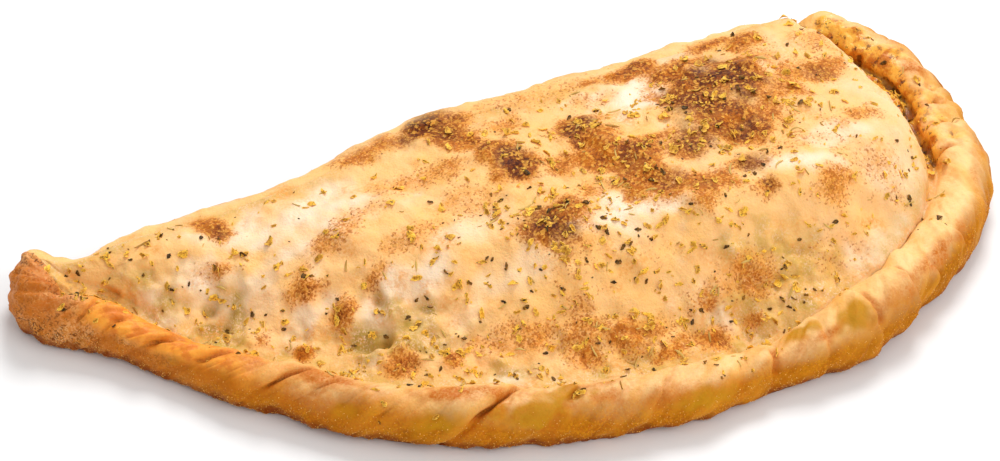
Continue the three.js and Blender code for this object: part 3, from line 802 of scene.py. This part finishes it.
# painted shade: a dark line along the foot of each open crease, over darker oil
colour = blend("crease_foot_shade", colour, OIL_DARK_AND_SHADE)
rough = plus(stretched("oily", 0, 1, ROUGHNESS), grain(170, 4, 0.3, 0.7, (-0.16, 0.14)))
gloss = plus(stretched("oily", 0, 1, GLOSS), times("glazed_lip", GLOSS_CHANGE))
gloss = less(gloss, times("lower", GLOSS_CHANGE), True)
gloss = less(gloss, times("browned", GLOSS_CHANGE), True)
bumps = plus(times(grain(420, 4, 0, 1), 0.6), times(grain(1300, 2, 0, 1), 0.4))
bump = add("ShaderNodeBump", [("Strength", BUMP_STRENGTH), ("Distance", BUMP_HEIGHT), ("Height", bumps)])
feed(tree.nodes["Principled BSDF"], [
    ("Base Color", colour), ("Roughness", rough), ("Specular IOR Level", gloss),
    ("Subsurface Weight", LIGHT_SINKS), ("Subsurface Radius", LIGHT_COLOURS),
    ("Subsurface Scale", LIGHT_DEPTH), ("Normal", bump.outputs["Normal"])])

calzone = lay("baked_dough", mesh, crust)
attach(calzone, "root")
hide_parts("calzone")

# ---------------------------- the semolina
# Coarse semolina from the peel, baked onto the outer side and the foot of the rim, where the dough lay
# and was lifted. All the grains are one mesh.
GRAINS = 7000
GRAIN_RADIUS = (0.11, 0.26)
GRAIN_ANGLE = (-25, 30)  # middle and spread, round the roll
GRAIN_LIMITS = (14, 75)  # over the foot's angle, and the highest
GRAIN_SCATTER = 0.3
GRAIN_UNEVEN = (0.7, 1.3)  # how far out each corner of a grain is
GRAIN_COLOURS = ((0.60, 0.24, 0.02, 1), (0.88, 0.50, 0.11, 1))
OCTAHEDRON = np.array([(1, 0, 0), (-1, 0, 0), (0, 1, 0), (0, -1, 0), (0, 0, 1), (0, 0, -1)])
OCTAHEDRON_FACES = np.array([(0, 2, 4), (2, 1, 4), (1, 3, 4), (3, 0, 4), (2, 0, 5), (1, 2, 5), (3, 1, 5),
                             (0, 3, 5)])

chance = np.random.default_rng(29)
grain_way = chance.uniform(0, EDGE_LENGTH, GRAINS)
grain_angle = np.clip(chance.normal(*GRAIN_ANGLE, GRAINS), FOOT_ANGLE + GRAIN_LIMITS[0], GRAIN_LIMITS[1])
order = np.argsort(ring_way)
along_ring = order[np.clip(np.searchsorted(ring_way[order], grain_way), 0, len(order) - 1)]
start_angle = ring_angle[along_ring, 0]
row = np.clip(np.round((start_angle - grain_angle) / (start_angle - FOOT_ANGLE) * ROLL_STEPS), 0,
              ROLL_STEPS).astype(int)
point = ring_index[along_ring, row]
jitter = chance.normal(0, GRAIN_SCATTER, (GRAINS, 3))
jitter -= normals[point] * (jitter * normals[point]).sum(1, keepdims=True)
grain_spots = lifted[point] + CENTRE_SHIFT + jitter
radius = mixed(*GRAIN_RADIUS, chance.random((GRAINS, 1, 1)) ** 1.5)
radius = radius * chance.uniform(*GRAIN_UNEVEN, (GRAINS, 6, 1))
corners = grain_spots[:, None] + OCTAHEDRON[None] * radius
corners[..., 2] = np.maximum(corners[..., 2], 0)
grain_faces = OCTAHEDRON_FACES[None] + 6 * np.arange(GRAINS)[:, None, None]
grain_mesh = bpy.data.meshes.new("semolina")
grain_mesh.from_pydata((corners.reshape(-1, 3) * MM).tolist(), [], grain_faces.reshape(-1, 3).tolist())
keep_share(grain_mesh, "tone", np.repeat(chance.random(GRAINS), 6))
semolina = plain_material("semolina", GRAIN_COLOURS[0], 0.6)
tree = semolina.node_tree
feed(tree.nodes["Principled BSDF"], [("Base Color", blend("tone", *GRAIN_COLOURS))])
grains = lay("semolina", grain_mesh, semolina)
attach(grains, "root")

# ---------------------------- the dried oregano
# Rubbed dried oregano, strewn over the oiled dough before baking. The golden and olive pieces are curled
# bits of leaf, and the oven turned some of them nearly black. It lies loose and is held by the oil.
SET_FLAKES = 72  # the largest, each lying where the solid has one
SET_SEED = 71
SET_ACROSS = (0.06, 0.96)  # from the rim to the fold
SET_SPACING = 8.5
SET_LENGTH = (4.2, 2.6)  # of the first and the last
THICK_MIDDLE = (12, -14, 95, 48)  # where it lies thickest: x, y, and how far that reaches along both
THIN_SHARE = 0.3  # how much of it lies far from there
STREWN = 1150  # the smaller ones
STREWN_LENGTH = (0.9, 3.4)
STREWN_ACROSS = (0.0, 0.97)
CRUMBLED = 0.3  # how many lie in two or three bits
CLUSTERS = [  # x, y, radius, flakes
    (105, -40, 8, 14), (-133, 54, 5, 7), (-62, -19, 12, 16), (-29, 18, 14, 14), (23, 15, 14, 12),
    (54, -38, 14, 12), (15, -65, 10, 8), (-1, -24, 14, 24), (-8, -14, 12, 24), (12, -16, 14, 22),
    (24, -32, 12, 14), (-60, -10, 12, 10), (-96, 37, 8, 10), (86, 6, 14, 12), (-14, -4, 12, 14),
    (96, 0, 12, 6), (-104, 20, 10, 8), (134, 14, 4, 14), (129, -8, 3, 10), (125, -20, 3, 8),
    (-14, -42, 9, 22), (2, -48, 9, 22), (20, -53, 8, 20), (38, -50, 8, 18), (54, -50, 8, 14),
    (72, -48, 8, 12), (-38, -42, 9, 16), (-60, -26, 8, 16), (-84, -2, 8, 14), (-30, -26, 9, 14),
    (127, 20, 4, 16), (128, 32, 4, 12), (127, 4, 4, 12), (121, -14, 3, 8), (121, -24, 3, 12),
    (112, -33, 5, 8), (118, 44, 4, 8), (36, 8, 16, 20), (-2, 30, 12, 10), (30, 2, 9, 20), (45, -8, 9, 16),
    (58, 4, 9, 16), (6, -24, 8, 16), (-20, -2, 9, 14), (82, -6, 9, 14), (46, 22, 9, 12), (76, 26, 9, 12),
    (22, 24, 8, 10), (-112, 36, 7, 12), (-100, 22, 7, 10), (-74, -8, 8, 12), (84, -14, 12, 10),
    (134, 30, 4, 10), (133, 44, 3, 6), (-139, 56, 3, 10), (-134, 49, 4, 9),
]
ON_RIM = 16
CRUMB_SPREAD = 1.1  # how far apart the bits of one lie
STEEPEST = 0.35  # none lies where the surface faces up less than this
GRID = (7, 5)  # places along and across a leaf bit
BIT_POINTS = 2 * GRID[0] * GRID[1]
LEAF_SLIM = (0.36, 0.80)  # width, as a share of the length
STEM_SLIM = 0.13
THICKNESS = 0.22
SUNK = 0.15
OREGANO = {"golden": 0.70, "dark": 0.20, "stem": 0.10}  # shares of the pieces
BIT_LENGTH = {"golden": 1, "dark": 0.75, "stem": 1.5}
LEAF_GOLD = (1.0, 0.56, 0.05, 1)
LEAF_OLIVE = (0.34, 0.135, 0.006, 1)
LEAF_PALE_HIGHLIGHT = (1.0, 0.62, 0.10, 1)
LEAF_RUST = (0.42, 0.14, 0.008, 1)
LEAF_DARK = (0.022, 0.015, 0.004, 1)
STEM_PALE = (0.66, 0.44, 0.12, 1)
LEAF_ROUGHNESS = 0.55
LEAF_GLOSS = 0.2


def place_across(share, part):
    """A place of the top, part of the way from a place of the rim to the one opposite on the fold."""
    ways = np.array([RIM_LENGTH * share * 2, mixed(RIM_LENGTH, EDGE_LENGTH, 1 - share * 2)])
    rim, fold = roll_point(ways, meeting_angle(ways))
    return mixed(rim, fold, part)[:2]


def lies_there(x, y):
    """How likely a piece is to lie at a place of the top."""
    away = ((x - THICK_MIDDLE[0]) / THICK_MIDDLE[2]) ** 2 + ((y - THICK_MIDDLE[1]) / THICK_MIDDLE[3]) ** 2
    return mixed(THIN_SHARE, 1, math.exp(-away))


def set_places():
    """The places of the solid's own flakes: drawn anywhere, kept by thickness, and kept apart."""
    state = SET_SEED
    places = []
    while len(places) < SET_FLAKES:
        drawn = []
        for _ in range(4):
            state = state * 16807 % 2147483647
            drawn.append(state / 2147483647)
        x, y = place_across(drawn[0] / 2, mixed(*SET_ACROSS, drawn[1]))
        apart = all(math.hypot(x - other[0], y - other[1]) > SET_SPACING for other in places)
        if drawn[3] < lies_there(x, y) and apart:
            places.append((x, y, mixed(*SET_LENGTH, len(places) / SET_FLAKES), drawn[2] * math.pi))
    return places


def leaf_bit(chance, kind, length):
    """A closed curled chip, or a thin stem, lying along x with its middle at the origin."""
    u, v = np.meshgrid(np.linspace(-1, 1, GRID[0]), np.linspace(-1, 1, GRID[1]), indexing="ij")
    slim = STEM_SLIM if kind == "stem" else chance.uniform(*LEAF_SLIM)
    jagged = 1 + chance.uniform(-0.5, 0.4, (GRID[0], 1)) * (kind != "stem")
    width = length * slim * np.clip(1 - np.abs(u) ** chance.uniform(1.6, 4), 0.10, 1) * jagged / 2
    curl = max(0.3, length * slim * chance.uniform(0.22, 0.9))
    angle = v * width / curl
    leaf = np.stack([u * length / 2, curl * np.sin(angle), curl * (1 - np.cos(angle))], -1)
    outward = np.stack([np.zeros_like(u), -np.sin(angle), np.cos(angle)], -1)
    half_thick = THICKNESS / 2 * (1.6 if kind == "stem" else 1)
    sides = [leaf + outward * half_thick, leaf - outward * half_thick]
    bend, twist = chance.normal(0, 0.35) / length, chance.normal(0, 0.9) / length
    for side in sides:
        x, y, z = np.moveaxis(side.copy(), -1, 0)
        side[..., 1] = y * np.cos(twist * x) - z * np.sin(twist * x) + 0.8 * bend * x ** 2
        side[..., 2] = y * np.sin(twist * x) + z * np.cos(twist * x) + bend * x ** 2
    return np.concatenate([sides[0].reshape(-1, 3), sides[1].reshape(-1, 3)])


def leaf_faces():
    count = GRID[0] * GRID[1]
    upper = np.arange(count).reshape(GRID)
    border = np.concatenate([upper[:, 0], upper[-1, 1:], upper[-2::-1, -1], upper[0, -2:0:-1]])
    edge = [(a, b, b + count, a + count) for a, b in zip(border, np.roll(border, -1))]
    quads = np.array(grid_faces(upper))
    return np.concatenate([quads, quads[:, ::-1] + count, np.array(edge)[:, ::-1]])


chance = np.random.default_rng(5)
whole = lifted + CENTRE_SHIFT
crust_tree = BVHTree.FromPolygons(whole.tolist(), faces)
spots = [(x, y, length, turn, True) for x, y, length, turn in set_places()]
for x, y, radius, count in CLUSTERS:
    for _ in range(count):
        spots.append((x + chance.normal(0, radius), y + chance.normal(0, radius), 0, 0, False))
while len(spots) < SET_FLAKES + STREWN:
    x, y = place_across(chance.uniform(0.02, 0.48), chance.uniform(*STREWN_ACROSS))
    if chance.random() < lies_there(x, y):
        spots.append((x, y, 0, 0, False))
for x, y, _, _, is_set in spots[:]:
    if not is_set and chance.random() < CRUMBLED:
        spots += [(x + chance.normal(0, CRUMB_SPREAD), y + chance.normal(0, CRUMB_SPREAD), 0, 0, False)
                  for _ in range(chance.integers(1, 3))]
for way_there, angle in zip(chance.uniform(20, RIM_LENGTH - 20, ON_RIM), chance.uniform(40, 130, ON_RIM)):
    x, y = roll_point(np.array([way_there]), np.array([angle]))[0, :2]
    spots.append((x, y, 0, 0, False))

heaps = {kind: ([], []) for kind in OREGANO}
for x, y, length, turn, is_set in spots:
    found, up, _, _ = crust_tree.ray_cast(Vector((x + CENTRE_SHIFT[0], y + CENTRE_SHIFT[1], 90)),
                                          Vector((0, 0, -1)))
    if found is None or up.z < STEEPEST:
        continue
    kind = "golden" if is_set else str(chance.choice(list(OREGANO), p=list(OREGANO.values())))
    if not is_set:
        length = mixed(*STREWN_LENGTH, chance.random() ** 1.4) * BIT_LENGTH[kind]
        turn = chance.uniform(0, 2 * math.pi)
    points = leaf_bit(chance, kind, length)
    if chance.random() < 0.5:
        points[:, 1:] *= -1
    roll_over = chance.normal(0, 0.12 if is_set else 0.5)
    y_turned = points[:, 1] * math.cos(roll_over) - points[:, 2] * math.sin(roll_over)
    points[:, 2] = points[:, 1] * math.sin(roll_over) + points[:, 2] * math.cos(roll_over)
    points[:, 1] = y_turned
    points[:, 2] -= points[:, 2].min() + SUNK
    ahead = Vector((math.cos(turn), math.sin(turn), 0))
    aside = up.cross(ahead).normalized()
    ahead = aside.cross(up)
    placed = points @ np.array([ahead, aside, up]) + np.array(found)
    heaps[kind][0].append(placed)
    heaps[kind][1].append(chance.random() ** 0.4)

bit_faces = leaf_faces()
edge_highlight_share = np.maximum.outer(*(np.linspace(-1, 1, count) ** 4 for count in GRID)).ravel()
for kind, (bits, tones) in heaps.items():
    steps = np.arange(len(bits))[:, None, None] * BIT_POINTS
    heap_mesh = bpy.data.meshes.new("oregano_" + kind)
    heap_mesh.from_pydata(np.concatenate(bits) * MM, [], (bit_faces[None] + steps).reshape(-1, 4).tolist())
    keep_share(heap_mesh, "tone", np.repeat(tones, BIT_POINTS))
    keep_share(heap_mesh, "brim", np.tile(edge_highlight_share, 2 * len(bits)))
    leaf = plain_material("oregano " + kind, LEAF_DARK, LEAF_ROUGHNESS)
    tree = leaf.node_tree
    if kind == "golden":
        colour = blend("tone", LEAF_OLIVE, LEAF_GOLD)
        colour = blend(grain(700, 2, 0.44, 0.58, (0, 0.85)), colour, LEAF_RUST)
        # pale edges of the golden bits: a painted highlight, partly their paler colour
        colour = blend("brim", colour, LEAF_PALE_HIGHLIGHT, 0.75)
        colour = blend(grain(1500, 2, 0.58, 0.68), colour, LEAF_DARK)
    elif kind == "dark":
        colour = blend(times("tone", grain(1200, 2)), LEAF_DARK, LEAF_OLIVE)
    else:
        colour = blend("tone", LEAF_OLIVE, STEM_PALE)
    feed(tree.nodes["Principled BSDF"], [("Base Color", colour), ("Specular IOR Level", LEAF_GLOSS)])
    heap = lay("oregano_" + kind, heap_mesh, leaf)
    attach(heap, "root")
